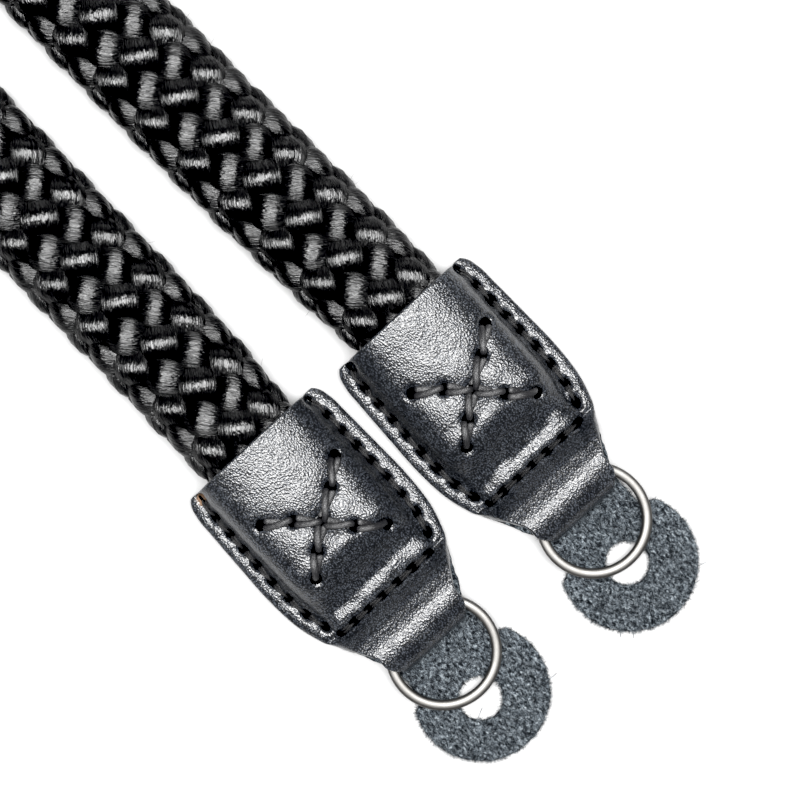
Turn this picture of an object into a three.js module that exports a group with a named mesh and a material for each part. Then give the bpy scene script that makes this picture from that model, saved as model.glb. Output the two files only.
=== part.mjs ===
// Braided camera strap, lying flat: one flat-oval braided cord whose two ends are sewn into
// leather tabs. Each tab holds a split ring in a fold and ends in a round leather protector.
// Millimetres, +Z up. The tabs point along -Y, and the origin is on the floor, midway between them.
import * as THREE from 'three';
import { mergeVertices } from 'three/addons/utils/BufferGeometryUtils.js';

// Braided cord, an oval lying on its flat side
const cordWidth = 16.8;
const cordThickness = 7.4;
const cordSides = 12;
const cordSteps = 80;
const ovalPower = 2.6;

// Leather
const frontThickness = 1.1;
const flapThickness = 0.8;
const backThickness = 1.3;
const seatGap = 0.3;
const pocketGap = 0.45;

// Tabs: distances run from the tab's mouth, where the cord goes in, towards its tip
const tabWidth = 24.4;
const tabSpacing = 25.8;
const tabStagger = 0.7;
const pocketDepth = 22.5;
const seamSetback = 3.8;
const cordEndRoom = 0.5;
const ringSetback = 3.05;
const flapOverSeam = 1.2;
const flapRows = 3;
const foldWidthShare = 0.82;
const foldReachShare = 0.29;
const bendDepthShare = 0.92;
const archShareOfFold = 0.7;

// Split rings
const ringDiameter = 15.3;
const ringWire = 1.3;
const turnHeight = 0.62;
const turnGap = 0.12;
const ringJog = 84;
const ringStep = 10;

// Protectors
const protectorDiameter = 18;
const protectorHole = 6;
const protectorReach = 7.4;
const neckWidth = 12.4;
const neckStartShare = 0.45;
const earWidth = 1.9;
const earRise = 0.8;

// The two ends: their side, and where each ring and each protector's hole sits across its tab
const ends = [
  { name: 'left', side: -1, ringShift: 0, holeShift: -0.6 },
  { name: 'right', side: 1, ringShift: 0.3, holeShift: -0.2 },
];

// Places worked out from the sizes
const crossSeam = pocketDepth + seamSetback;
const ringOuter = ringDiameter / 2;
const ringInner = ringOuter - ringWire;
const ringCentre = crossSeam + ringSetback + ringOuter;
const protectorCentre = ringCentre + protectorReach;
const tabReach = protectorCentre + protectorDiameter / 2;
const mouthY = (tabReach + tabStagger) / 2;
const ringHeight = 2 * turnHeight + turnGap;

// The fold's half width stays inside the ring, so that the ring can turn through it
const foldHalfWidth = foldWidthShare * ringInner;
const foldTip = ringCentre - foldReachShare * ringInner;
const flapTop = backThickness + seatGap + flapThickness;
const foldCrossing = ringCentre - Math.sqrt(ringInner ** 2 - foldHalfWidth ** 2);
const ringSlope = (flapTop - backThickness) / (ringCentre + ringOuter - foldCrossing);
const ringTilt = Math.atan(ringSlope);
const ringUnderside = backThickness + seatGap + ringSlope * ringOuter;
const ringMiddle = ringUnderside + ringHeight / 2 / Math.cos(ringTilt);
const ringNearTop = ringMiddle + ringSlope * ringOuter + ringHeight / 2;

// How the cord is squeezed near a tab: distance past the mouth as a share of the pocket,
// then width and thickness as shares of the free cord's
const squeeze = [
  { past: -1.1, width: 1.0, thickness: 1.0 },
  { past: -0.45, width: 0.98, thickness: 1.0 },
  { past: 0, width: 0.92, thickness: 0.93 },
  { past: 0.3, width: 0.9, thickness: 0.85 },
  { past: 0.62, width: 0.9, thickness: 0.79 },
  { past: 0.88, width: 0.88, thickness: 0.76 },
  { past: 1.0, width: 0.84, thickness: 0.62 },
];

// Tab outline from the mouth to the cross seam: share of that length, share of half the width
const tabOutline = [
  { along: 0, half: 0.872 },
  { along: 0.02, half: 0.91 },
  { along: 0.09, half: 0.959 },
  { along: 0.2, half: 0.973 },
  { along: 0.34, half: 0.984 },
  { along: 0.46, half: 0.992 },
  { along: 0.585, half: 1.0 },
  { along: 0.68, half: 0.995 },
  { along: 0.753, half: 0.984 },
  { along: 0.815, half: 0.967 },
  { along: 0.875, half: 0.938 },
  { along: 0.938, half: 0.895 },
  { along: 1.0, half: 0.844 },
];

// Tab outline from the cross seam to the fold's tip: share of that length, and how much of the
// difference between the seam's and the fold's half width is left
const taperOutline = [
  { along: 0.12, left: 0.88 },
  { along: 0.25, left: 0.753 },
  { along: 0.37, left: 0.625 },
  { along: 0.5, left: 0.505 },
  { along: 0.734, left: 0.32 },
];

// The fold seen from the side: angle round its bend, and the share of width left there
const foldBend = [
  { turn: 0, left: 0.278 },
  { turn: 27, left: 0.186 },
  { turn: 52, left: 0.07 },
  { turn: 74, left: 0.01 },
  { turn: 90, left: 0 },
  { turn: 112, left: 0 },
  { turn: 140, left: 0 },
  { turn: 180, left: 0 },
];

// Columns across a tab: angles over the arch, from its crest to its foot, then the places of the
// foot and of the seam as shares of what is left
const archAngles = [90, 72, 56, 42, 29, 17, 6];
const footShare = 0.3;
const seamShare = 0.45;

// Middle line of the free cord, from the left tab round the neck loop to the right tab
const cordRoute = [
  [-12.75, 42, 3.97],
  [-13.1, 64, 3.72],
  [-13.6, 92, 3.72],
  [-13.9, 122, 3.72],
  [-13.7, 152, 3.72],
  [-13.5, 182, 3.72],
  [-14.2, 212, 3.72],
  [-16.6, 242, 3.72],
  [-20.8, 272, 3.72],
  [-26.2, 302, 3.72],
  [-32.0, 331, 3.72],
  [-36.9, 359, 3.72],
  [-39.3, 386, 3.72],
  [-34.6, 408, 3.72],
  [-20.0, 422.6, 3.72],
  [0, 428, 3.72],
  [20.0, 422.8, 3.72],
  [34.4, 408.4, 3.72],
  [39.4, 387, 3.72],
  [37.4, 360, 3.72],
  [32.6, 332, 3.72],
  [26.8, 303, 3.72],
  [21.2, 273, 3.72],
  [16.6, 243, 3.72],
  [13.2, 213, 3.72],
  [11.1, 183, 3.72],
  [10.1, 153, 3.72],
  [9.8, 123, 3.72],
  [10.1, 93, 3.72],
  [10.9, 64, 3.72],
  [12.1, 41, 3.97],
];

const radians = (degrees) => (degrees * Math.PI) / 180;
const signedPower = (value, power) => Math.sign(value) * Math.abs(value) ** power;

// Value of one column of a table at a place between its rows
function between(table, key, place, column) {
  const last = table.length - 1;
  if (place <= table[0][key]) return table[0][column];
  if (place >= table[last][key]) return table[last][column];
  const next = table.findIndex((row) => row[key] >= place);
  const before = table[next - 1];
  const after = table[next];
  const share = (place - before[key]) / (after[key] - before[key]);
  return before[column] + share * (after[column] - before[column]);
}

// Half width, half thickness and height of the cord, at a distance past a tab's mouth
function cordInTab(past) {
  const place = past / pocketDepth;
  const halfWidth = (between(squeeze, 'past', place, 'width') * cordWidth) / 2;
  const halfThickness = (between(squeeze, 'past', place, 'thickness') * cordThickness) / 2;
  return { halfWidth, halfThickness, middle: backThickness + seatGap + halfThickness };
}

const tabX = (end) => (end.side * tabSpacing) / 2;
const tabMouthY = (end) => (end.side < 0 ? mouthY : mouthY - tabStagger);

// The cord's curve keeps its wide side level, and draws its section in near the tabs
class CordCurve extends THREE.CatmullRomCurve3 {
  computeFrenetFrames(steps) {
    const tangents = [];
    const normals = [];
    const binormals = [];
    for (let i = 0; i <= steps; i += 1) {
      const point = this.getPointAt(i / steps);
      const end = point.x < 0 ? ends[0] : ends[1];
      const place = (tabMouthY(end) - point.y) / pocketDepth;
      const tangent = this.getTangentAt(i / steps);
      const across = new THREE.Vector3(-tangent.y, tangent.x, 0).normalize();
      const upward = new THREE.Vector3().crossVectors(tangent, across);
      tangents.push(tangent);
      normals.push(across.multiplyScalar(between(squeeze, 'past', place, 'width')));
      binormals.push(upward.multiplyScalar(between(squeeze, 'past', place, 'thickness')));
    }
    return { tangents, normals, binormals };
  }
}

function cordCurve() {
  const inTab = (end, share) => {
    const past = share * pocketDepth;
    return new THREE.Vector3(tabX(end), tabMouthY(end) - past, cordInTab(past).middle);
  };
  const [left, right] = ends;
  const free = cordRoute.map((point) => new THREE.Vector3(...point));
  const points = [inTab(left, 1), inTab(left, 0.5), inTab(left, 0), ...free];
  points.push(inTab(right, 0), inTab(right, 0.5), inTab(right, 1));
  return new CordCurve(points, false, 'catmullrom', 0.5);
}

// An oval whose flattest sides still reach the cord's full width and thickness
function cordSection() {
  const points = [];
  for (let i = 0; i < cordSides; i += 1) {
    const angle = radians((i + 0.5) * (360 / cordSides));
    const x = signedPower(Math.cos(angle), 2 / ovalPower);
    const y = signedPower(Math.sin(angle), 2 / ovalPower);
    points.push(new THREE.Vector2(x, y));
  }
  const widest = Math.max(...points.map((point) => point.x));
  const tallest = Math.max(...points.map((point) => point.y));
  points.forEach((point) => {
    point.x *= cordWidth / 2 / widest;
    point.y *= cordThickness / 2 / tallest;
  });
  return new THREE.Shape(points);
}

function braidedCord() {
  return new THREE.ExtrudeGeometry(cordSection(), {
    steps: cordSteps,
    extrudePath: cordCurve(),
    bevelEnabled: false,
  });
}

// Rows of the front leather, from the mouth over the pocket, round the fold and back under.
// Each row holds its distance past the mouth, the height of its flat edge, and its arch.
function frontRows() {
  const half = tabWidth / 2;
  const flange = backThickness + seatGap + frontThickness / 2;
  const rows = tabOutline.map(({ along, half: share }) => {
    const past = along * crossSeam;
    const cord = cordInTab(Math.min(past, pocketDepth));
    const sinking = Math.max(0, past - pocketDepth - cordEndRoom) / (seamSetback - cordEndRoom);
    const cover = pocketGap + frontThickness / 2;
    const archFull = cord.halfThickness + cover;
    const riseFull = cord.middle - flange;
    const archAtSeam = flapThickness + seatGap;
    return {
      past,
      height: flange,
      rise: riseFull * (1 - sinking),
      arch: archFull + (archAtSeam - archFull) * sinking,
      archHalf: cord.halfWidth + cover,
      half: half * share,
      thickness: frontThickness,
    };
  });
  const seamHalf = rows[rows.length - 1].half;
  const leftOver = (share) => foldHalfWidth + (seamHalf - foldHalfWidth) * share;
  const foldTop = ringNearTop + seatGap + frontThickness / 2;
  const foldBottom = backThickness + seatGap + flapThickness / 2;
  const bendHeight = (foldTop - foldBottom) / 2;
  const bendDepth = bendHeight * bendDepthShare;
  const bendStart = foldTip - bendDepth;
  const crestStart = ringCentre - ringOuter;
  for (const { along, left } of taperOutline) {
    const past = crossSeam + along * (bendStart - crossSeam);
    const climb = Math.min(1, (past - crossSeam) / (crestStart - crossSeam));
    const eased = climb * climb * (3 - 2 * climb);
    const archLeft = (flapThickness + seatGap) * (1 - eased);
    rows.push({
      past,
      height: flange + (foldTop - flange) * eased,
      rise: 0,
      arch: archLeft,
      archHalf: leftOver(left) * archShareOfFold,
      half: leftOver(left),
      thickness: frontThickness,
    });
  }
  for (const { turn, left } of foldBend) {
    const bent = Math.min(1, turn / 180);
    rows.push({
      past: bendStart + bendDepth * Math.sin(radians(turn)),
      height: (foldTop + foldBottom) / 2 + bendHeight * Math.cos(radians(turn)),
      rise: 0,
      arch: 0,
      archHalf: leftOver(left) * archShareOfFold,
      half: leftOver(left),
      thickness: frontThickness + (flapThickness - frontThickness) * bent,
    });
  }
  const flapEnd = crossSeam - flapOverSeam;
  for (let i = 1; i <= flapRows; i += 1) {
    rows.push({
      past: bendStart + (i / flapRows) * (flapEnd - bendStart),
      height: foldBottom,
      rise: 0,
      arch: 0,
      archHalf: foldHalfWidth * archShareOfFold,
      half: foldHalfWidth,
      thickness: flapThickness,
    });
  }
  return rows;
}

// Points across one row: edge, seam, foot of the arch, arch, and the same on the other side
function acrossRow(row) {
  const side = archAngles.map((angle) => {
    const x = row.archHalf * signedPower(Math.cos(radians(angle)), 2 / ovalPower);
    const climb = signedPower(Math.sin(radians(angle)), 2 / ovalPower);
    return { x, z: row.height + row.rise + row.arch * climb };
  });
  const footX = row.archHalf + (row.half - row.archHalf) * footShare;
  side.push({ x: footX, z: row.height });
  side.push({ x: footX + (row.half - footX) * seamShare, z: row.height });
  side.push({ x: row.half, z: row.height });
  const mirrored = side.slice(1).map(({ x, z }) => ({ x: -x, z }));
  return [...mirrored.reverse(), ...side];
}

// Turns a box's grid into a bent sheet: columns run across, rows along, and the box's top and
// bottom become the sheet's two faces, each half a thickness off its middle surface
function bentSheet(rows) {
  const grid = rows.map((row) => acrossRow(row).map(({ x, z }) => new THREE.Vector3(x, -row.past, z)));
  const columns = grid[0].length - 1;
  const geometry = new THREE.BoxGeometry(1, 1, 1, columns, 1, rows.length - 1);
  const position = geometry.attributes.position;
  for (let n = 0; n < position.count; n += 1) {
    const i = Math.round((position.getX(n) + 0.5) * columns);
    const k = Math.round((position.getZ(n) + 0.5) * (rows.length - 1));
    const across = grid[k][Math.min(i + 1, columns)].clone().sub(grid[k][Math.max(i - 1, 0)]);
    const along = grid[Math.min(k + 1, rows.length - 1)][i].clone().sub(grid[Math.max(k - 1, 0)][i]);
    const outward = along.cross(across).normalize();
    const offset = position.getY(n) * rows[k].thickness;
    const point = grid[k][i].clone().addScaledVector(outward, offset);
    position.setXYZ(n, point.x, point.y, point.z);
  }
  return geometry;
}

function frontTab(end) {
  return bentSheet(frontRows()).translate(tabX(end), tabMouthY(end), 0);
}

// Back leather and protector in one piece: the tab's outline, a neck, and a holed disc
function backTab(end) {
  const half = tabWidth / 2;
  const neckHalf = neckWidth / 2;
  const discRadius = protectorDiameter / 2;
  const side = tabOutline.map(({ along, half: share }) => [half * share, along * crossSeam]);
  const seamHalf = side[side.length - 1][0];
  const neckStart = ringCentre - neckStartShare * ringInner;
  for (const { along, left } of taperOutline) {
    side.push([neckHalf + (seamHalf - neckHalf) * left, crossSeam + along * (neckStart - crossSeam)]);
  }
  side.push([neckHalf, neckStart]);
  const cornerPast = protectorCentre - Math.sqrt(discRadius ** 2 - (neckHalf + earWidth) ** 2);
  side.push([neckHalf, cornerPast - earRise]);
  const startAngle = Math.atan2(protectorCentre - cornerPast, neckHalf + earWidth);
  const outline = new THREE.Shape();
  outline.moveTo(-side[0][0], 0);
  side.forEach(([x, past]) => outline.lineTo(-x, -past));
  outline.absarc(0, -protectorCentre, discRadius, Math.PI - startAngle, startAngle, false);
  side.reverse().forEach(([x, past]) => outline.lineTo(x, -past));
  outline.closePath();
  const hole = new THREE.Path();
  hole.absarc(end.holeShift, -protectorCentre, protectorHole / 2, 0, Math.PI * 2, true);
  outline.holes.push(hole);
  const plate = new THREE.ExtrudeGeometry(outline, {
    depth: backThickness,
    bevelEnabled: false,
    curveSegments: 28,
  });
  return plate.translate(tabX(end), tabMouthY(end), 0);
}

// One wire wound in two flat turns: its jog from the lower to the upper turn faces the tab
function splitRing() {
  const firstAngle = 90 + ringJog / 2;
  const woundAngle = 720 - ringJog;
  const steps = Math.round(woundAngle / ringStep);
  const middleRadius = ringOuter - ringWire / 2;
  const geometry = new THREE.CylinderGeometry(1, 1, 1, 8, steps);
  const position = geometry.attributes.position;
  for (let n = 0; n < position.count; n += 1) {
    const wound = (position.getY(n) + 0.5) * woundAngle;
    const intoJog = (wound - (360 - ringJog)) / ringJog;
    const climb = Math.min(1, Math.max(0, intoJog));
    const level = (climb - 0.5) * (turnHeight + turnGap);
    const angle = radians(firstAngle + wound);
    const fromMiddle = Math.hypot(position.getX(n), position.getZ(n));
    const round = Math.atan2(-position.getX(n), position.getZ(n)) + radians(22.5);
    const out = fromMiddle * signedPower(Math.cos(round), 0.6) * (ringWire / 2);
    const up = fromMiddle * signedPower(Math.sin(round), 0.6) * (turnHeight / 2);
    const radius = middleRadius + out;
    position.setXYZ(n, radius * Math.cos(angle), radius * Math.sin(angle), level + up);
  }
  return geometry;
}

const leather = () => new THREE.MeshStandardMaterial({ color: 0x282b32, roughness: 0.5 });
const suede = () => new THREE.MeshStandardMaterial({ color: 0x4b5869, roughness: 0.95 });
const nickel = () => new THREE.MeshStandardMaterial({ color: 0xc8c6c2, metalness: 1, roughness: 0.3 });
const braid = () => new THREE.MeshStandardMaterial({ color: 0x161618, roughness: 0.6 });

// Leaves each mesh one closed body with shared corners
function named(name, geometry, material) {
  geometry.deleteAttribute('normal');
  geometry.deleteAttribute('uv');
  const merged = mergeVertices(geometry, 1e-4);
  merged.computeVertexNormals();
  const mesh = new THREE.Mesh(merged, material);
  mesh.name = name;
  return mesh;
}

function tabEnd(end) {
  const group = new THREE.Group();
  group.add(named(`${end.name}_front_tab`, frontTab(end), leather()));
  group.add(named(`${end.name}_back_tab`, backTab(end), suede()));
  const ring = named(`${end.name}_split_ring`, splitRing(), nickel());
  ring.rotation.x = ringTilt;
  ring.position.set(tabX(end) + end.ringShift, tabMouthY(end) - ringCentre, ringMiddle);
  group.add(ring);
  return group;
}

const strap = new THREE.Group();
strap.add(named('braided_cord', braidedCord(), braid()));
ends.forEach((end) => strap.add(tabEnd(end)));

export default strap;
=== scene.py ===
# Braided camera strap: the woven cord, leather tabs, split rings and suede protectors, in metres
import math
import random
import bmesh
import bpy
import numpy as np
from mathutils import Matrix, Vector, geometry, noise


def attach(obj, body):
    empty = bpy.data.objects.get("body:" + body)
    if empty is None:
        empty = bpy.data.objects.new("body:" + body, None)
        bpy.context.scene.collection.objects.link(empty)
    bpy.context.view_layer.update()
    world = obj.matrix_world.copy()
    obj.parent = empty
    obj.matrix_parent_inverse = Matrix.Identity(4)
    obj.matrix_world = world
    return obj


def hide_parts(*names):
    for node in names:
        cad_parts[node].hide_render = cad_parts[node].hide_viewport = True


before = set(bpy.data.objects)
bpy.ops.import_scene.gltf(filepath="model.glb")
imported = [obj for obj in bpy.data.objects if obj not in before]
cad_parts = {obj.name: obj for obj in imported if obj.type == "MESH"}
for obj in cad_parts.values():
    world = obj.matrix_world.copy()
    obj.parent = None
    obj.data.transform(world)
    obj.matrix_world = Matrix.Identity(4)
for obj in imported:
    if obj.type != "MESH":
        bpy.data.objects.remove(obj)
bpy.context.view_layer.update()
mm = 0.001
mergeDistance = 1e-7  # points closer than this become one


# Settings given in millimetres
def lengths(**values):
    return {key: np.multiply(value, mm).tolist() for key, value in values.items()}


# Places shared by the pieces, as the solids have them. Distances along a tab run from its mouth,
# where the cord goes in, towards its tip.
strap = lengths(
    tabSpacing=25.8, tabStagger=0.7, tabWidth=24.4, mouthY=27.05, pocketDepth=22.5,
    crossSeam=26.3, backThickness=1.3, seatGap=0.3, ringCentre=37.0, ringInner=6.35,
    ringOuter=7.65, ringMiddle=3.029, protectorCentre=44.4,
)
ends = {
    "left": {"side": -1, "seed": 3, "wrinkling": 0.6}
    | lengths(ringShift=0, holeShift=(-0.6, 0.5)),
    "right": {"side": 1, "seed": 8, "wrinkling": 1}
    | lengths(ringShift=0.3, holeShift=(-0.2, -0.15)),
}
# Places from the mouth to the cross seam, and the share of half the tab's width there
tabOutline = (
    (0, 0.872), (0.02, 0.91), (0.09, 0.959), (0.2, 0.973), (0.34, 0.984), (0.46, 0.992), (0.585, 1),
    (0.68, 0.995), (0.753, 0.984), (0.815, 0.967), (0.875, 0.938), (0.938, 0.895), (1, 0.844),
)
# Places from the cross seam to the fold or the neck, and the share of the extra width left there
taper = (0.12, 0.88), (0.25, 0.753), (0.37, 0.625), (0.5, 0.505), (0.734, 0.32)


def tabX(end):
    return end["side"] * strap["tabSpacing"] / 2


def tabMouth(end):
    return strap["mouthY"] - (strap["tabStagger"] if end["side"] > 0 else 0)


# Meshes: a grid of points becomes a surface, a closed tube or a two-faced sheet
def gridSurface(bm, points):
    rows, columns = points.shape[:2]
    made = bmesh.ops.create_grid(
        bm, x_segments=columns - 1, y_segments=rows - 1, size=0.5, calc_uvs=True
    )
    for vertex, place in zip(made["verts"], points.reshape(-1, 3)):
        vertex.co = place
    return made["verts"]


def newBmesh():
    bm = bmesh.new()
    bm.loops.layers.uv.new("UVMap")
    return bm


# Rows run along the tube, columns round it, first column repeated last; each end closes on a tip
def addTube(bm, rows, tips):
    caps = np.repeat(np.asarray(tips)[:, None], rows.shape[1], axis=1)
    made = gridSurface(bm, np.concatenate((caps[:1], rows, caps[1:])))
    bmesh.ops.remove_doubles(bm, verts=made, dist=mergeDistance)


def roundTurns(sides):
    turns = np.linspace(0, 2 * math.pi, sides + 1)
    turns[-1] = 0
    return turns


# A sine or cosine made rounder or squarer, for sections between an oval and a box
def squared(value, power):
    return np.sign(value) * np.abs(value) ** power


def unit(vectors):
    return vectors / np.linalg.norm(vectors, axis=-1)[..., None]


# How far each point of a path is from its first one
def runAlong(path):
    return np.concatenate(([0], np.cumsum(np.linalg.norm(np.diff(path, axis=0), axis=1))))


# The directions beside and above each point of a path
def pathSides(path, upward):
    along = unit(np.gradient(path, axis=0))
    side = unit(np.cross(along, upward))
    return side, np.cross(side, along)


# Puts a shape at a place, its height along a direction
def facing(place, direction):
    return Matrix.Translation(place) @ direction.to_track_quat("Z", "Y").to_matrix().to_4x4()


def addRope(bm, path, radius, sides):
    path = np.asarray(path)
    side, above = pathSides(path, (0.31, 0.17, 0.93))  # no thread runs this way
    turns = roundTurns(sides)[None, :, None]
    ring = side[:, None] * np.cos(turns) + above[:, None] * np.sin(turns)
    addTube(bm, path[:, None] + ring * radius, path[[0, -1]])


def addObject(name, data):
    made = bpy.data.objects.new(name, data)
    bpy.context.collection.objects.link(made)
    return made


def meshPiece(name, bm, material, slot=None, body="strap", smooth=True):
    bmesh.ops.recalc_face_normals(bm, faces=bm.faces)
    data = bpy.data.meshes.new(name)
    bm.to_mesh(data)
    bm.free()
    if smooth:
        data.shade_smooth()
    data.materials.append(material)
    piece = addObject(name, data)
    if slot:
        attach(piece, body)
    return piece


def unevenness(points, size, seed):
    shift = Vector((seed * 3.7, seed * 1.3, seed * 5.1))
    values = [noise.noise(Vector(p) + shift) for p in points.reshape(-1, 3) / size]
    return np.array(values).reshape(points.shape[:-1])


# A smooth curve through values given at uneven places
def smoothThrough(places, values, wanted):
    slopes = np.gradient(values, places, axis=0)
    k = np.clip(np.searchsorted(places, wanted, side="right") - 1, 0, len(places) - 2)
    gap = (places[k + 1] - places[k])[:, None]
    t = (wanted - places[k])[:, None] / gap
    start, stop = values[k], values[k + 1]
    rise = (2 * t**3 - 3 * t**2 + 1) * start + (3 * t**2 - 2 * t**3) * stop
    return rise + gap * ((t**3 - 2 * t**2 + t) * slopes[k] + (t**3 - t**2) * slopes[k + 1])


def hump(distance, reach):
    return np.exp(-((distance / reach) ** 2))


# A rounded rise, from its place, reach and height
def form(distance, shape):
    place, reach, height = shape
    return height * hump(distance - place, reach)


# 1 before a place and 0 past it, turning over a few times the spread
def fadeAfter(distance, place, spread):
    return 1 / (1 + np.exp((distance - place) / spread))


# Camera: straight down, turned so that the strap runs from the corner as photographed
cameraSettings = lengths(middle=(5.28, 18.06), acrossFrame=104.3, measuredAt=3.5) | {
    "lens": 135, "sensor": 36, "roll": -42.75,
}


def makeCamera():
    s = cameraSettings
    data = bpy.data.cameras.new("camera")
    data.lens = s["lens"]
    data.sensor_width = s["sensor"]
    data.clip_start = 0.01
    camera = addObject("camera", data)
    distance = s["acrossFrame"] * s["lens"] / s["sensor"]
    camera.location = (*s["middle"], s["measuredAt"] + distance)
    camera.rotation_euler = (0, 0, math.radians(s["roll"]))
    bpy.context.scene.camera = camera


lightSettings = {
    "worldStrength": 0.02, "floorHalf": 8.0, "floorGrey": 0.55,
    "blackLevel": 0.009,  # the photograph's deep blacks
    # wide soft boxes, their long side across the picture
    "lamps": [
        {"name": "overhead", "place": (0.053, 0.068, 2.0), "size": (1.6, 0.77), "watts": 104.0},
        {"name": "fill", "place": (1.75, 1.87, 2.0), "size": (1.25, 1.25), "watts": 12.5},
    ],
    "aim": (0.005, 0.02, 0),
}


def makeFloorAndLight():
    s = lightSettings
    world = bpy.data.worlds.new("studio")
    bpy.context.scene.world = world
    world.use_nodes = True
    background = world.node_tree.nodes["Background"]
    background.inputs["Color"].default_value = (1, 1, 1, 1)
    background.inputs["Strength"].default_value = s["worldStrength"]
    finish = Finish("pale floor", (s["floorGrey"],) * 3, roughness=0.9, specular=0.1)
    bm = newBmesh()
    bmesh.ops.create_grid(bm, x_segments=1, y_segments=1, size=s["floorHalf"])
    meshPiece("floor", bm, finish.material)
    turn = math.radians(cameraSettings["roll"])
    across = Vector((math.cos(turn), math.sin(turn), 0))
    for lamp in s["lamps"]:
        data = bpy.data.lights.new(lamp["name"], "AREA")
        data.shape = "RECTANGLE"
        data.size, data.size_y = lamp["size"]
        data.energy = lamp["watts"]
        light = addObject(lamp["name"], data)
        place = Vector(lamp["place"])
        towards = (place - Vector(s["aim"])).normalized()
        upward = towards.cross(across).normalized()
        axes = Matrix((upward.cross(towards), upward, towards)).transposed()
        light.matrix_world = Matrix.Translation(place) @ axes.to_4x4()
        light.visible_camera = False
    view = bpy.context.scene.view_settings
    view.view_transform = "Standard"
    view.look = "None"
    view.use_curve_mapping = True
    view.curve_mapping.black_level = (s["blackLevel"],) * 3
    view.curve_mapping.update()


# A finish is one Principled material. Each method adds a node and hands back its output,
# and a plain number or colour is set on the socket itself.
class Finish:
    def __init__(self, name, colour, roughness, specular=0.5, metallic=0.0, ior=None):
        self.material = bpy.data.materials.new(name)
        self.material.use_nodes = True
        self.tree = self.material.node_tree
        self.use("Base Color", colour)
        self.use("Roughness", roughness)
        self.use("Specular IOR Level", specular)
        self.use("Metallic", metallic)
        if ior:
            self.use("IOR", ior)

    def use(self, socket, value):
        self.join(self.tree.nodes["Principled BSDF"].inputs[socket], value)

    def join(self, socket, value):
        if isinstance(value, bpy.types.NodeSocket):
            self.tree.links.new(value, socket)
        elif socket.type == "RGBA":
            socket.default_value = (*value, 1)
        else:
            socket.default_value = value

    def add(self, kind, output, inputs, **choices):
        node = self.tree.nodes.new(kind)
        for choice, value in choices.items():
            setattr(node, choice, value)
        for socket, value in inputs.items():
            self.join(node.inputs[socket], value)
        return node.outputs[output]

    def place(self, source="Object"):
        return self.add("ShaderNodeTexCoord", source, {})

    def space(self, source="Object", scale=(1, 1, 1), turn=0.0):
        inputs = {"Vector": self.place(source), "Scale": scale, "Rotation": (0, 0, turn)}
        return self.add("ShaderNodeMapping", "Vector", inputs)

    def noise(self, vector, scale, detail=3.0, roughness=0.55, distortion=0.0):
        inputs = {"Vector": vector, "Scale": scale, "Detail": detail, "Roughness": roughness}
        return self.add("ShaderNodeTexNoise", "Fac", {**inputs, "Distortion": distortion})

    # Each stop is a place and its colour
    def ramp(self, value, *stops):
        colours = self.add("ShaderNodeValToRGB", "Color", {"Fac": value})
        elements = colours.node.color_ramp.elements
        while len(elements) < len(stops):
            elements.new(0.5)
        for element, (place, colour) in zip(elements, stops):
            element.position = place
            element.color = (*colour, 1)
        return colours

    # Values between low and high become values between start and stop
    def spread(self, value, low, high, start, stop):
        inputs = {"From Min": low, "From Max": high, "To Min": start, "To Max": stop}
        return self.add("ShaderNodeMapRange", "Result", {"Value": value, **inputs})

    def mix(self, share, first, second, blend="MIX"):
        inputs = {0: share, 6: first, 7: second}
        return self.add("ShaderNodeMix", 2, inputs, data_type="RGBA", blend_type=blend)

    def bump(self, height, distance, strength=1.0, before=None):
        inputs = {"Height": height, "Distance": distance, "Strength": strength}
        if before:
            inputs["Normal"] = before
        return self.add("ShaderNodeBump", "Normal", inputs)

    # Sheen runs across the fibres: the tangent is taken from the map's across direction
    def sheenAcross(self, anisotropy):
        choices = {"direction_type": "UV_MAP", "uv_map": "UVMap"}
        self.use("Tangent", self.add("ShaderNodeTangent", "Tangent", {}, **choices))
        self.use("Anisotropic", anisotropy)


# The cord: its route, its section, the core and sixteen interlaced strands
cordSettings = lengths(
    width=16.8, thickness=7.4, coreHalfWidth=6.5, coreHalfThickness=1.75, coreEvery=1.5,
    height=3.72, tabHeight=3.97,  # of the route, and of its first and last points
    route=[  # the middle line's points from above, as in the solids
        (-12.75, 42), (-13.1, 64), (-13.6, 92), (-13.9, 122), (-13.7, 152), (-13.5, 182),
        (-14.2, 212), (-16.6, 242), (-20.8, 272), (-26.2, 302), (-32.0, 331), (-36.9, 359),
        (-39.3, 386), (-34.6, 408), (-20.0, 422.6), (0, 428), (20.0, 422.8), (34.4, 408.4),
        (39.4, 387), (37.4, 360), (32.6, 332), (26.8, 303), (21.2, 273), (16.6, 243),
        (13.2, 213), (11.1, 183), (10.1, 153), (9.8, 123), (10.1, 93), (10.9, 64), (12.1, 41),
    ],
) | {
    "pathSteps": 24,
    # how far into a tab, as a share of the pocket, and the cord's width and thickness there
    "squeezes": (
        (-1.1, -0.45, 0, 0.3, 0.62, 0.8, 0.9, 1.0),
        (1.0, 0.98, 0.92, 0.9, 0.9, 0.89, 0.87, 0.84),
        (1.0, 1.0, 0.93, 0.85, 0.79, 0.75, 0.52, 0.2),
    ),
    "flatter": (0.09, 0.38),  # the oval's sides and faces are flatter than an ellipse's
    "coreSides": 20,
}
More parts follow.
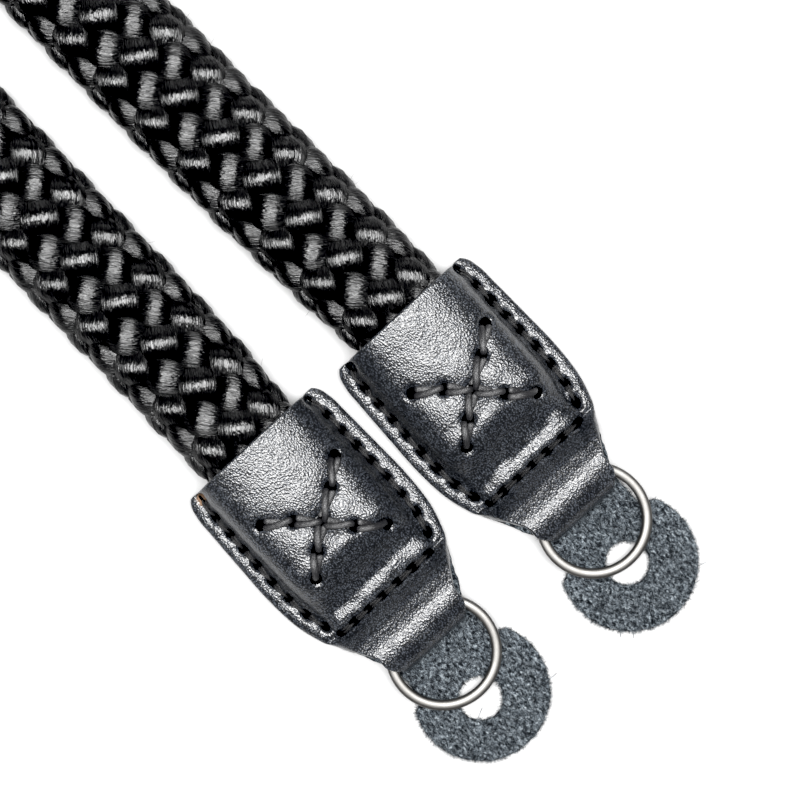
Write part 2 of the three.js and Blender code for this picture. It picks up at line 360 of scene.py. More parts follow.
strandSettings = lengths(
    pitch=60.2,  # one strand's advance in a full turn round the cord
    midHalfWidth=7.25, midHalfThickness=2.55, halfWidth=2.38, halfThickness=0.5, droop=0.16,
    wave=0.66,  # how far a strand rises over and dips under the others
    topReach=6.6,  # surface width for a turn of one radian at the top
    firstOver=(29, 29),  # a top crossing's distance from each end of the cord
    endMargin=1.6, ripple=0.07,
) | {
    "eachWay": 8,
    "swell": 0.07,  # a strand is wider where it lies on top
    "lean": 34.6,  # a strand's angle to the cord on its top face
    "turned": (-1.8, 2.0),  # the weave's turn round the cord at the left and the right tab
    "stepsPerCrossing": 5, "sides": 10, "sectionPowers": (0.8, 0.9), "widthRipple": 0.05,
    "rippleSteps": (90, 5.3, 9.1),  # of the ripple's noise: along, from strand to strand, by way
}


def cordShares(past):
    places, *shares = cordSettings["squeezes"]
    return [np.interp(past, places, share) for share in shares]


def cordInTab(past):
    wide, thick = cordShares(past / strap["pocketDepth"])
    halfThickness = thick * cordSettings["thickness"] / 2
    middle = strap["backThickness"] + strap["seatGap"] + halfThickness
    return wide * cordSettings["width"] / 2, halfThickness, middle


# The middle line as a fine run of points, on smooth curves through the route
def cordLine():
    s = cordSettings
    route = [Vector((x, y, s["height"])) for x, y in s["route"]]
    route[0].z = route[-1].z = s["tabHeight"]
    for share in (0, 0.5, 1):
        past = share * strap["pocketDepth"]
        left, right = (
            Vector((tabX(end), tabMouth(end) - past, cordInTab(past)[2])) for end in ends.values()
        )
        route = [left, *route, right]
    points = [2 * route[0] - route[1], *route, 2 * route[-1] - route[-2]]
    line = []
    for before, start, stop, after in zip(points, points[1:], points[2:], points[3:]):
        handles = start + (stop - before) / 6, stop - (after - start) / 6
        line += geometry.interpolate_bezier(start, *handles, stop, s["pathSteps"] + 1)[:-1]
    return np.array([*line, route[-1]])


# Gives the cord's middle, its directions and its squeeze at any distance from its left end
class CordFrame:
    def __init__(self):
        self.line = cordLine()
        self.along = runAlong(self.line)
        self.length = float(self.along[-1])
        tangent = np.gradient(self.line, self.along, axis=0)
        share = 1 - np.minimum(self.along, self.length - self.along) / strap["pocketDepth"]
        self.columns = [*self.line.T, *tangent.T, *cordShares(share)]

    def at(self, distance):
        x, y, z, *tangent, wide, thick = (np.interp(distance, self.along, c) for c in self.columns)
        tangent = unit(np.stack(tangent, axis=-1))
        left = unit(np.stack((-tangent[..., 1], tangent[..., 0], 0 * tangent[..., 0]), axis=-1))
        return np.stack((x, y, z), axis=-1), left, np.cross(tangent, left), wide, thick

    # Points on a flattened oval: angle 0 is the top, a quarter turn the left side
    def surface(self, distance, angle, halfWidth, halfThickness):
        middle, left, up, wide, thick = self.at(distance)
        flatSides, flatFaces = cordSettings["flatter"]
        across = wide * halfWidth * np.sin(angle) * (1 - flatSides * np.cos(angle) ** 2)
        upward = thick * halfThickness * np.cos(angle) * (1 + flatFaces * np.sin(angle) ** 2)
        return middle + left * across[..., None] + up * upward[..., None]


def makeCordCore(cord):
    s = cordSettings
    distance = np.linspace(0, cord.length, int(cord.length / s["coreEvery"]))
    distances, angles = np.meshgrid(distance, roundTurns(s["coreSides"]), indexing="ij")
    rows = cord.surface(distances, angles, s["coreHalfWidth"], s["coreHalfThickness"])
    bm = newBmesh()
    addTube(bm, rows, cord.at(distance[[0, -1]])[0])
    return meshPiece("cordCore", bm, darkCoreMaterial(), "braid")


def strandPoints(cord, way, index):
    s = strandSettings
    count = s["eachWay"]
    # whole crossings fit between the two ends' measured ones
    span = cord.length - s["firstOver"][0] - s["firstOver"][1]
    cells = round(span / (s["pitch"] / count))
    pitch = span / cells * count
    start = s["firstOver"][0] - (pitch / count / 2 if way < 0 else 0)
    steps = int(cord.length / (pitch / count / 2) * s["stepsPerCrossing"])
    distance = np.linspace(s["endMargin"], cord.length - s["endMargin"], steps)
    turn = way * 2 * math.pi * (distance - start) / pitch + 2 * math.pi * index / count
    turn = turn + (math.pi / count if way > 0 else 0)
    over = -way * np.cos(count * turn)
    along, apart, byWay = s["rippleSteps"]
    places = (Vector((d * along, index * apart, way * byWay)) for d in distance)
    wander = np.array([noise.noise(place) for place in places])
    height = s["wave"] * over + s["ripple"] * wander
    turned = np.radians(np.interp(distance, (0, cord.length), s["turned"]))
    lean = math.radians(s["lean"])
    sectionTurns = roundTurns(s["sides"])
    u = squared(np.cos(sectionTurns), s["sectionPowers"][0])
    v = squared(np.sin(sectionTurns), s["sectionPowers"][1])
    halfWidth = s["halfWidth"] * (1 + s["widthRipple"] * wander + s["swell"] * over)[:, None]
    distances = distance[:, None] - way * halfWidth * u * math.sin(lean)
    angles = (turn + turned)[:, None] + halfWidth * u * math.cos(lean) / s["topReach"]
    lift = height[:, None] + s["halfThickness"] * v - s["droop"] * u**2
    distances = np.clip(distances, 0, cord.length)
    return cord.surface(distances, angles, s["midHalfWidth"] + lift, s["midHalfThickness"] + lift)


def makeStrands(cord):
    s = strandSettings
    material = strandMaterial(cord.length)
    strands = []
    for way, label in ((1, "forward"), (-1, "backward")):
        for index in range(s["eachWay"]):
            rows = strandPoints(cord, way, index)
            bm = newBmesh()
            addTube(bm, rows, rows[[0, -1]].mean(axis=1))
            strands.append(meshPiece(f"{label}Strand{index + 1}", bm, material, "braid"))
    return strands


# A finish of fine fibres, in tones between two colours
def fibreMaterial(name, colour, roughness, specular, scale, *stops, detail=3.0, height=0):
    made = Finish(name, colour, roughness, specular)
    fibres = made.noise(made.space(), scale, detail)
    made.use("Base Color", made.ramp(fibres, *stops))
    if height:
        made.use("Normal", made.bump(fibres, height))
    return made.material


def darkCoreMaterial():
    stops = (0.3, (0.003,) * 3), (0.8, (0.012,) * 3)
    colour, height = (0.006, 0.006, 0.007), 0.1 * mm
    return fibreMaterial("dark core", colour, 0.8, 0.2, 2500, *stops, height=height)


yarnSettings = {
    "colours": ((0.0006, 0.0006, 0.0008), (0.0028, 0.0028, 0.0034)),
    "roughness": (0.34, 0.21),  # where the flecks are dark and light
    "anisotropy": 0.85,
    "mapWidth": 11 * mm,  # makes the map's two directions even
    "filaments": {"stretch": 0.16, "scale": 58, "height": 0.16 * mm},
    "yarns": {"stretch": 0.04, "scale": 14, "height": 0.18 * mm}, "fleckScale": 75,
}


# Black polyester yarn: fine filaments lie along each strand and split its sheen into streaks
def strandMaterial(length):
    s = yarnSettings
    made = Finish("black braid yarn", (0.004, 0.004, 0.005), roughness=0.4, ior=1.5)
    made.sheenAcross(s["anisotropy"])
    fine, long = (
        made.space("UV", (1, length / s["mapWidth"] * s[threads]["stretch"], 1))
        for threads in ("filaments", "yarns")
    )
    filaments = made.noise(fine, s["filaments"]["scale"], detail=2.0, roughness=0.6)
    yarns = made.noise(long, s["yarns"]["scale"], detail=1.0)
    flecks = made.noise(long, s["fleckScale"], detail=1.0)
    darkest, lightest = s["colours"]
    made.use("Base Color", made.ramp(flecks, (0.35, darkest), (0.7, lightest)))
    made.use("Roughness", made.spread(flecks, 0.3, 0.7, *s["roughness"]))
    first = made.bump(yarns, s["yarns"]["height"], strength=0.6)
    made.use("Normal", made.bump(filaments, s["filaments"]["height"], before=first))
    return made.material


# The front leather: over the cord, down to the cross seam, up over the ring and back under
leatherSettings = lengths(
    thickness=1.1, flapThickness=0.8, pocketGap=0.45, cordEndRoom=0.5, seamSetback=3.8,
    foldHalfWidth=5.207, foldTip=35.16, foldTop=5.305, foldBottom=2, flapOverSeam=1.2,
    spacing=0.22, edgeSteps=(0, 0.03, 0.14, 0.34), rimDrop=0.42, rimReach=2.2,
    rimStop=(27, 0.7),  # the dropped rim ends here, over this spread
    crest=(31.6, 2.1, 0.95),  # the fold's rounded top: place, reach, height
    crestAbove=3,  # only the leather higher than this is rounded up
) | {
    "bendDepthShare": 0.92,
    "bend": (  # degrees round it, and the share of the extra width left there
        (0, 0.278), (27, 0.186), (52, 0.07), (74, 0.01), (90, 0), (112, 0), (140, 0), (180, 0),
    ),
    "flapRows": 3, "archShareOfFold": 0.7, "footShare": 0.3, "ovalPower": 2.6,
    "archSteps": 26,
    "softenings": 6,  # of the corners of a row's section
    "columns": 137, "edgeRound": (0, 0.72, 0.93, 1.0),
}
reliefSettings = lengths(
    lowSwell=(4.5, 0.11), fineSwell=(1.3, 0.035), wrinkles=(0.75, 0.13),  # size, height
    slack=(3.4, 0.34),  # soft dents among the wrinkles
    # place, reach and height of the forms along the seams
    ridge=(25.35, 1.2, 0.32), seamGroove=(0, 0.42, -0.58),
    sideGroove=(0, 0.5, -0.14), sideRidge=(0.9, 0.8, 0.09),
    seamEnd=(1.2, 0.4),  # ridge and groove stop this far inside the edge, over this spread
    sideSeamStop=(25, 0.4),
    threadGrooves=((0.85, 0.16), (1.9, 0.13)),
    pucker=(0.95, 1.3, 0.2),  # reach along and across a hole, depth
    edgeFade=0.5,
) | {
    "foldPlace": (23.4 * mm, 2.2 * mm, 1),  # where the wrinkles and dents lie
    "wrinkleStretch": 0.22,  # they run across the tab
    "ridgeVaries": 0.7,
    "holeWall": 1.6,  # more is steeper
    "diagonalWall": 3.6,
}
stitchSettings = lengths(
    fromEdge=2.05,
    sideHoles=(0.9, 3.9, 6.8, 9.5, 12.2, 15.2, 18.2, 21.3, 24.1),  # past the mouth
    crossHoles=(-8.0, -5.7, -3.2, -0.7, 1.9, 4.6, 7.3),  # across, on the cross seam
    crossPast=26.15, holeLength=0.84, holeWidth=0.53, holeDepth=0.75,
    diagonals=[  # the cross stitch on the dome, across and past the mouth
        [(-5.8, 8.7), (-2.5, 11.1), (0.1, 13.7), (2.9, 16.9), (6.0, 19.5)],
        [(7.1, 8.5), (4.0, 11.1), (0.1, 13.7), (-2.9, 16.1), (-5.4, 18.5)],
    ],
    # the depth and thickness at the end of this line are for the near-black discs of painted shade
    # in the holes
    diagonalHole=0.78, diagonalDepth=0.85, plyTwist=9.5, liningDepth=0.26, liningHeight=0.1,
) | {
    "holeSpread": 0.16,  # how much the holes differ in size and direction
    # a thread starts this far from its hole's middle, lies this low and ends this deep
    "crossThread": lengths(startsIn=0.45, ply=0.45, top=-0.16, dive=0.45),
    "seamThread": lengths(startsIn=0.4, ply=0.2, top=-0.1, dive=0.5), "plyApart": 0.95,
    # the spread at the end of this line widens the near-black discs of painted shade over their
    # holes
    "plySides": 8, "threadSteps": 26, "shadowDiscSpread": 1.02,
}


def leatherRows():
    s = leatherSettings
    crossSeam, pocket = strap["crossSeam"], strap["pocketDepth"]
    flange = strap["backThickness"] + strap["seatGap"] + s["thickness"] / 2
    cover = s["pocketGap"] + s["thickness"] / 2
    archAtSeam = s["flapThickness"] + strap["seatGap"]
    half = strap["tabWidth"] / 2

    # place past the mouth, edge height, rise, arch, the arch's half width, half width, thickness
    def foldRow(past, height, arch, left, thickness=s["thickness"]):
        halfHere = s["foldHalfWidth"] + (seamHalf - s["foldHalfWidth"]) * left
        return (past, height, 0, arch, halfHere * s["archShareOfFold"], halfHere, thickness)

    rows = []
    for along, share in tabOutline:
        past = along * crossSeam
        halfWidth, halfThickness, middle = cordInTab(min(past, pocket))
        sinking = max(0, past - pocket - s["cordEndRoom"]) / (s["seamSetback"] - s["cordEndRoom"])
        arch = halfThickness + cover + (archAtSeam - halfThickness - cover) * sinking
        rise = (middle - flange) * (1 - sinking)
        archHalf = halfWidth + cover
        rows.append((past, flange, rise, arch, archHalf, half * share, s["thickness"]))
    seamHalf = rows[-1][5]
    bendHeight = (s["foldTop"] - s["foldBottom"]) / 2
    bendDepth = bendHeight * s["bendDepthShare"]
    bendStart = s["foldTip"] - bendDepth
    crestStart = strap["ringCentre"] - strap["ringOuter"]
    for along, left in taper:
        past = crossSeam + along * (bendStart - crossSeam)
        climb = min(1, (past - crossSeam) / (crestStart - crossSeam))
        eased = climb * climb * (3 - 2 * climb)
        height = flange + (s["foldTop"] - flange) * eased
        rows.append(foldRow(past, height, archAtSeam * (1 - eased), left))
    for turn, left in s["bend"]:
        angle = math.radians(turn)
        past = bendStart + bendDepth * math.sin(angle)
        height = (s["foldTop"] + s["foldBottom"]) / 2 + bendHeight * math.cos(angle)
        thickness = s["thickness"] + (s["flapThickness"] - s["thickness"]) * turn / 180
        rows.append(foldRow(past, height, 0, left, thickness))
    flapEnd = crossSeam - s["flapOverSeam"]
    for step in range(1, s["flapRows"] + 1):
        past = bendStart + step / s["flapRows"] * (flapEnd - bendStart)
        rows.append(foldRow(past, s["foldBottom"], 0, 0, s["flapThickness"]))
    return np.array(rows)


# One row's points across, evenly spaced along its bent section
def acrossRow(row, columns):
    s = leatherSettings
    past, height, rise, arch, archHalf, half, thickness = row
    angle = np.radians(np.linspace(90, 0, s["archSteps"]))
    x = archHalf * np.cos(angle) ** (2 / s["ovalPower"])
    z = height + rise + arch * np.sin(angle) ** (2 / s["ovalPower"])
    x[0] = 0
    foot = archHalf + (half - archHalf) * s["footShare"]
    x, z = np.append(x, (foot, half)), np.append(z, (height, height))
    x, z = np.append(-x[:0:-1], x), np.append(z[:0:-1], z)
    run = runAlong(np.stack((x, z), axis=1))
    inner = np.linspace(0, run[-1], columns - 4)
    close = min(s["edgeSteps"][1], run[-1] / 100) * np.array((1, 4))  # extra columns by the edges
    wanted = np.sort(np.concatenate((inner, close, run[-1] - close)))
    x, z = (np.interp(wanted, run, level) for level in (x, z))
    for level in (x, z) * s["softenings"]:
        level[2:-2] = (level[1:-3] + 2 * level[2:-2] + level[3:-1]) / 4
    edge = np.minimum(wanted, run[-1] - wanted)
    return x, z, edge


class LeatherSurface:
    def __init__(self, end):
        s = leatherSettings
        rows = leatherRows()
        run = runAlong(rows[:, :2])
        length = run[-1]
        wanted = np.linspace(0, length, int(length / s["spacing"]))
        extra = np.array(s["edgeSteps"][1:])
        wanted = np.sort(np.concatenate((wanted, extra, length - extra)))
        fine = smoothThrough(run, rows, wanted)
        fine[:, 1] += np.where(fine[:, 1] > s["crestAbove"], form(fine[:, 0], s["crest"]), 0)
        across = [acrossRow(row, s["columns"]) for row in fine]
        x, z, edgeAcross = np.array(across).transpose(1, 0, 2)
        past = np.repeat(fine[:, :1], s["columns"], axis=1)
        rim = np.clip(1 - edgeAcross / s["rimReach"], 0, 1) ** 2
        self.before = int(np.argmax(fine[:, 0]))  # rows up to the fold's tip
        onTop = np.arange(len(fine)) <= self.before
        z -= s["rimDrop"] * rim * (onTop * fadeAfter(fine[:, 0], *s["rimStop"]))[:, None]
        self.end = end
        self.past = past
        self.x = x
        self.middle = np.stack((tabX(end) + x, tabMouth(end) - past, z), axis=-1)
        along = np.gradient(self.middle, axis=0)
        sideways = np.gradient(self.middle, axis=1)
        self.normal = unit(np.cross(along, sideways))
        edgeAlong = np.minimum(wanted, length - wanted)[:, None]
        nearEdge = np.minimum(edgeAcross, edgeAlong)
        rounding = np.interp(nearEdge, s["edgeSteps"], s["edgeRound"])
        self.half = fine[:, 6][:, None] / 2 * rounding
        self.width = fine[:, 5]
        self.plain = self.middle + self.normal * self.half[..., None]
        self.inside = nearEdge

    # A point on the outer face before it is pulled in, at a place across and past the mouth
    def at(self, x, past, lift=0.0):
        last = self.before
        row = np.interp(past, self.past[:last, 0], np.arange(last))
        r = min(int(row), last - 2)
        t = row - r
        xs = self.x[r] * (1 - t) + self.x[r + 1] * t
        column = np.interp(x, xs, np.arange(len(xs)))
        c = min(int(column), len(xs) - 2)
        w = column - c
        corners = self.plain[r:r + 2, c:c + 2] + self.normal[r:r + 2, c:c + 2] * lift
        return np.array((1 - t, t)) @ (np.array((1 - w, w)) @ corners)

    def halfWidthAt(self, past):
        last = self.before
        return float(np.interp(past, self.past[:last, 0], self.width[:last]))


# The punched holes of the two side seams and the cross seam: place, direction and size
def seamRuns(surface):
    s = stitchSettings
    chance = random.Random(surface.end["seed"])
    rows = []
    for side in (-1, 1):
        pasts = s["sideHoles"]
        rows.append([(side * (surface.halfWidthAt(past) - s["fromEdge"]), past) for past in pasts])
    rows.append([(x, s["crossPast"]) for x in s["crossHoles"]])
    for row in rows:
        run = []
        last = len(row) - 1
        for k, (x, past) in enumerate(row):
            ahead, behind = row[min(k + 1, last)], row[max(k - 1, 0)]
            angle = math.atan2(ahead[0] - behind[0], ahead[1] - behind[1])
            angle += chance.gauss(0, s["holeSpread"])
            run.append((x, past, angle, 1 + chance.gauss(0, s["holeSpread"] / 2)))
        yield run


def leatherRelief(surface):
    s, t = reliefSettings, stitchSettings
    x, past = surface.x, surface.past
    onTop = (np.arange(len(x))[:, None] <= surface.before).astype(float)

    def swells(size, height, seed, points=surface.middle):
        return height * unevenness(points, size, surface.end["seed"] + seed)

    relief = swells(*s["lowSwell"], 0) + swells(*s["fineSwell"], 5)
    # wrinkles and slack on the slope between the cord's end and the cross seam
    folds = swells(*s["wrinkles"], 9, np.stack((x * s["wrinkleStretch"], past, 0 * x), axis=-1))
    folds = folds * surface.end["wrinkling"] + swells(*s["slack"], 14)
    uneven = 1 + swells(s["slack"][0], s["ridgeVaries"], 17)
    inset, spread = s["seamEnd"]
    seamHalf = surface.halfWidthAt(strap["crossSeam"])
    inSeam = onTop * fadeAfter(np.abs(x), seamHalf - inset, spread)
    # leather is pulled in along the side seams, and raised just outside them
    alongSide = onTop * fadeAfter(past, *s["sideSeamStop"])
    fromSeam = np.abs(x) - (surface.width[:, None] - t["fromEdge"])
    for share, distance, key in (
        (onTop * folds, past, "foldPlace"),
        (inSeam * uneven, past, "ridge"),
        (inSeam, past - t["crossPast"], "seamGroove"),
        (alongSide, fromSeam, "sideGroove"),
        (alongSide, fromSeam, "sideRidge"),
    ):
        relief += share * form(distance, s[key])
    reachAlong, reachAcross, depth = s["pucker"]
    for holeX, holePast, angle, size in sum(seamRuns(surface), []):
        awayX, awayPast = x - holeX, past - holePast
        along = awayPast * math.cos(angle) + awayX * math.sin(angle)
        across = awayX * math.cos(angle) - awayPast * math.sin(angle)
        away = (along / t["holeLength"] / size) ** 2 + (across / t["holeWidth"] / size) ** 2
        relief -= onTop * t["holeDepth"] * np.exp(-(away ** s["holeWall"]))
        relief -= onTop * depth * hump(along, reachAlong) * hump(across, reachAcross)
    places = np.stack((x, past), axis=-1)
    for holes in np.array(t["diagonals"]):
        for start, stop in zip(holes, holes[1:]):
            run = stop - start
            share = np.clip((places - start) @ run / (run @ run), 0, 1)
            away = np.linalg.norm(places - start - share[..., None] * run, axis=-1)
            for reach, depth in s["threadGrooves"]:
                relief -= onTop * depth * hump(away, reach)
        for hole in holes:
            away = np.linalg.norm(places - hole, axis=-1) / t["diagonalHole"]
            relief -= onTop * t["diagonalDepth"] * np.exp(-(away ** s["diagonalWall"]))
    return relief * np.clip(surface.inside / s["edgeFade"], 0, 1)


def makeFrontLeather(name, end, material):
    surface = LeatherSurface(end)
    relief = leatherRelief(surface)
    outer = surface.middle + surface.normal * (surface.half + relief)[..., None]
    inner = surface.middle - surface.normal * surface.half[..., None]
    bm = newBmesh()
    gridSurface(bm, outer)
    gridSurface(bm, inner)
    bmesh.ops.remove_doubles(bm, verts=bm.verts, dist=mergeDistance)
    piece = meshPiece(f"{name}FrontLeather", bm, material, "smooth_leather")
    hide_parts(f"{name}_front_tab")
    return surface


leatherFinish = lengths(
    scuff=(-22.2, 26.0, 2.4), scuffEdge=(1.6, 1.3), scuffRagged=0.9, creaseHeight=0.03,
    pebbleHeight=0.06,
) | {
    "colours": ((0.0105, 0.0118, 0.0148), (0.018, 0.020, 0.0235)),
    "roughness": (0.25, 0.34), "grainStretch": (1.35, 1, 1), "pebbleScale": 3400,
    "creaseScale": 1700, "patchScale": 260,
    "grainGlintTones": (5.6, 0.5),  # of the grain's tops and hollows: the light specks on the tops are painted glints of gloss
    "dust": (0.11, 0.12, 0.14), "rawLeather": (0.30, 0.19, 0.12),
}


# Smooth black leather: fine pebbled grain, its raised parts lighter as painted glints of gloss,
# satin, a little dust, and wear where one corner is scuffed
def leatherMaterial():
    s = leatherFinish
    base = (0.008, 0.0095, 0.0125)
    made = Finish("black grained leather", base, roughness=0.3, specular=0.62, ior=1.6)
    space = made.space(scale=s["grainStretch"])
    cells = {"Vector": space, "Scale": s["pebbleScale"], "Smoothness": 0.3}
    pebbles = made.add("ShaderNodeTexVoronoi", "Distance", cells, feature="SMOOTH_F1")
    creases = made.noise(space, s["creaseScale"], detail=4.0, roughness=0.6)
    patches = made.noise(space, s["patchScale"])
    darker, lighter = s["colours"]
    colour = made.ramp(patches, (0.35, darker), (0.7, lighter))
    # Painted highlight: light specks in the grain stand in for glints of gloss, with darker leather
    # between them
    grainAndGlints = made.spread(pebbles, 0.08, 0.52, *s["grainGlintTones"])
    colour = made.mix(1.0, colour, grainAndGlints, blend="MULTIPLY")
    dust = made.noise(space, scale=6500, detail=1.0)
    colour = made.mix(made.spread(dust, 0.73, 0.8, 0, 0.3), colour, s["dust"])
    # raw leather shows where one corner of the left tab is scuffed
    spots = {0: made.place(), 1: s["scuff"]}
    away = made.add("ShaderNodeVectorMath", "Value", spots, operation="DISTANCE")
    ragged = {0: creases, 1: s["scuffRagged"], 2: away}
    ragged = made.add("ShaderNodeMath", 0, ragged, operation="MULTIPLY_ADD")
    scuff = made.spread(ragged, *s["scuffEdge"], 0, 0.85)
    made.use("Base Color", made.mix(scuff, colour, s["rawLeather"]))
    made.use("Roughness", made.spread(creases, 0.3, 0.75, *s["roughness"]))
    first = made.bump(creases, s["creaseHeight"])
    made.use("Normal", made.bump(pebbles, s["pebbleHeight"], before=first))
    return made.material


# Threads: two plies twisted together, lying between holes and diving into them
def addThread(bm, surface, start, stop, thread):
    s = stitchSettings
    a, b = np.array(start), np.array(stop)
    share = np.linspace(0, 1, s["threadSteps"])
    lifts = (thread["dive"] + thread["top"]) * np.sin(math.pi * share) ** 0.5 - thread["dive"]
    middle = np.array([surface.at(*(a + (b - a) * t), lift) for t, lift in zip(share, lifts)])
    side, above = pathSides(middle, (0, 0, 1))
    twist = 2 * math.pi * np.linalg.norm(b - a) * share / s["plyTwist"]
    for phase in (0, math.pi):
        turn = (twist + phase)[:, None]
        swing = side * np.cos(turn) + above * np.sin(turn)
        ply = thread["ply"]
        addRope(bm, middle + swing * ply * s["plyApart"], ply, s["plySides"])


def makeThreads(name, surface, crossMaterial, shadedSeamMaterial):
    s = stitchSettings
    seams = [[hole[:2] for hole in run] for run in seamRuns(surface)]
    for label, runs, thread, material in (
        ("Cross", s["diagonals"], s["crossThread"], crossMaterial),
        ("Seam", seams, s["seamThread"], shadedSeamMaterial),
    ):
        bm = newBmesh()
        for run in runs:
            for first, second in zip(run, run[1:]):
                first, second = Vector(first), Vector(second)
                inset = (second - first).normalized() * thread["startsIn"]
                addThread(bm, surface, first + inset, second - inset, thread)
        meshPiece(f"{name}{label}Stitching", bm, material, "smooth_leather")


# Painted shade: a near-black disc sunk in every punched hole stands in for the shadow inside it
def makeHoleShadowDiscs(name, surface, material):
    s = stitchSettings
    holes = [
        (x, past, angle, s["holeLength"] * size, s["holeWidth"] * size)
        for x, past, angle, size in sum(seamRuns(surface), [])
    ]
    for x, past in {tuple(place) for run in s["diagonals"] for place in run}:
        holes.append((x, past, 0, s["diagonalHole"], s["diagonalHole"]))
    bm = newBmesh()
    for x, past, angle, length, width in sorted(holes):
        place = Vector(surface.at(x, past, lift=-s["liningDepth"]))
        above = Vector(surface.at(x, past)) - place
        shape = facing(place, above) @ Matrix.Rotation(math.pi + angle, 4, "Z")
        size = Matrix.Diagonal((width * s["shadowDiscSpread"], length * s["shadowDiscSpread"], 1, 1))
        bmesh.ops.create_cone(
            bm, cap_ends=True, segments=14, radius1=0.5, radius2=1, depth=s["liningHeight"],
            matrix=shape @ size,
        )
    meshPiece(f"{name}HoleShadowDiscs", bm, material, "smooth_leather")


# Painted shade: near-black, with no specular, for the discs in the holes
def holeShadowMaterial():
    stops = (0.3, (0.001,) * 3), (0.8, (0.004,) * 3)
    return fibreMaterial("hole shadow", (0.0015, 0.0015, 0.002), 1.0, 0.0, 3000, *stops)


def threadMaterial(name, shineAndPaintedLight):
    # the colour darkens with the shine as well: the seam's sunken copy is painted shade
    colour = (0.02 * shineAndPaintedLight, 0.02 * shineAndPaintedLight, 0.023 * shineAndPaintedLight)
    made = Finish(name, colour, roughness=0.42, specular=shineAndPaintedLight, ior=1.7)
    made.sheenAcross(0.5)
    lay = made.noise(made.space("UV", (1, 0.3, 1)), scale=20, roughness=0.7)
    made.use("Roughness", made.spread(lay, 0.3, 0.7, 0.34, 0.55))
    made.use("Normal", made.bump(lay, 0.15 * mm, strength=0.9))
    return made.material


# The back leather with its neck and round protector: suede above, smooth below
suedeSettings = lengths(
    neckWidth=12.4, earWidth=1.9, earRise=0.8, discRadius=9, holeRadius=3, voxel=0.24,
    swell=(3.2, 0.07), nap=(0.55, 0.07), ragged=(0.7, 0.12),  # size, height
    wallFrom=0.12,
) | {
    "neckStartShare": 0.45, "discSteps": 72, "holeSteps": 36,
    "softenings": 3,  # of the remeshed plate
}


def suedeOutline():
    s = suedeSettings
    crossSeam, centre = strap["crossSeam"], strap["protectorCentre"]
    half, neckHalf = strap["tabWidth"] / 2, s["neckWidth"] / 2
    side = [(half * share, along * crossSeam) for along, share in tabOutline]
    seamHalf = side[-1][0]
    neckStart = strap["ringCentre"] - s["neckStartShare"] * strap["ringInner"]
    for along, left in taper:
        past = crossSeam + along * (neckStart - crossSeam)
        side.append((neckHalf + (seamHalf - neckHalf) * left, past))
    earX = neckHalf + s["earWidth"]
    cornerPast = centre - math.sqrt(s["discRadius"] ** 2 - earX**2)
    side += [(neckHalf, neckStart), (neckHalf, cornerPast - s["earRise"])]
    start = math.atan2(centre - cornerPast, earX)
    disc = []
    for step in range(s["discSteps"] + 1):
        angle = math.pi - start + step / s["discSteps"] * (math.pi + 2 * start)
        x, further = s["discRadius"] * math.cos(angle), s["discRadius"] * math.sin(angle)
        disc.append((x, centre - further))
    return [(-x, past) for x, past in side] + disc + side[::-1]


def makeSuede(name, end, material):
    s = suedeSettings
    bm = newBmesh()
    holeX, holePast = end["holeShift"]
    holePast += strap["protectorCentre"]
    turns = [2 * math.pi * k / s["holeSteps"] for k in range(s["holeSteps"])]
    hole = [
        (holeX + s["holeRadius"] * math.cos(a), holePast + s["holeRadius"] * math.sin(a))
        for a in turns
    ]
    for loop in (suedeOutline(), hole):
        corners = [bm.verts.new((tabX(end) + x, tabMouth(end) - past, 0)) for x, past in loop]
        for k, corner in enumerate(corners):
            bm.edges.new((corners[k - 1], corner))
    bmesh.ops.triangle_fill(bm, use_beauty=True, edges=bm.edges[:])
    made = bmesh.ops.extrude_face_region(bm, geom=bm.faces[:])
    raised = [v for v in made["geom"] if isinstance(v, bmesh.types.BMVert)]
    bmesh.ops.translate(bm, verts=raised, vec=(0, 0, strap["backThickness"]))
    plate = meshPiece("plate", bm, material)
    remesh = plate.modifiers.new("remesh", "REMESH")
    remesh.mode = "VOXEL"
    remesh.voxel_size = s["voxel"]
    bpy.context.view_layer.update()
    evaluated = plate.evaluated_get(bpy.context.evaluated_depsgraph_get())
    bm = newBmesh()
    bm.from_mesh(evaluated.to_mesh())
    evaluated.to_mesh_clear()
    bpy.data.objects.remove(plate)
    for _ in range(s["softenings"]):
        bmesh.ops.smooth_vert(
            bm, verts=bm.verts, factor=0.5, use_axis_x=True, use_axis_y=True, use_axis_z=True
        )
    bm.normal_update()
    points = np.array([v.co for v in bm.verts])
    normals = np.array([v.normal for v in bm.verts])
    # the flesh side swells and its cut edges are ragged, while the smooth face stays flat
    top = np.clip((points[:, 2] / strap["backThickness"] - 0.75) / 0.2, 0, 1)
    wall = np.clip(1 - np.abs(normals[:, 2]) * 1.4, 0, 1) * (points[:, 2] > s["wallFrom"])
    push = 0
    for k, (share, key) in enumerate(((top, "swell"), (top, "nap"), (wall, "ragged"))):
        size, height = s[key]
        push += share * height * unevenness(points, size, end["seed"] + 20 + k)
    moved = points + normals * push[:, None]
    moved[:, 2] = np.maximum(moved[:, 2], 0)
    for vertex, place in zip(bm.verts, moved):
        vertex.co = place
    piece = meshPiece(f"{name}BackLeather", bm, material, "suede_leather")
    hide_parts(f"{name}_back_tab")
    return piece


napSettings = lengths(
    start=33.8,  # past the mouth
    above=0.35, length=(0.35, 0.95), radius=0.032, looseLength=(0.5, 0.95), looseRadius=0.045,
    rimReach=3,  # loose threads start at the rim, up to this far above the disc's middle
    floorGap=0.02,
) | {
    "fibres": 7000, "fibresPerBatch": 200, "tipShare": 0.3, "outShare": 0.25,
    "rise": (0.1, 0.5),
    "flow": (-0.3, -0.2),  # the way they lean on average
    "flowSpread": 0.8, "looseThreads": 4,
    "looseSpread": (0.7, 0.9),  # of their direction and their curl
    "looseRise": 0.15, "looseSteps": 5,
}


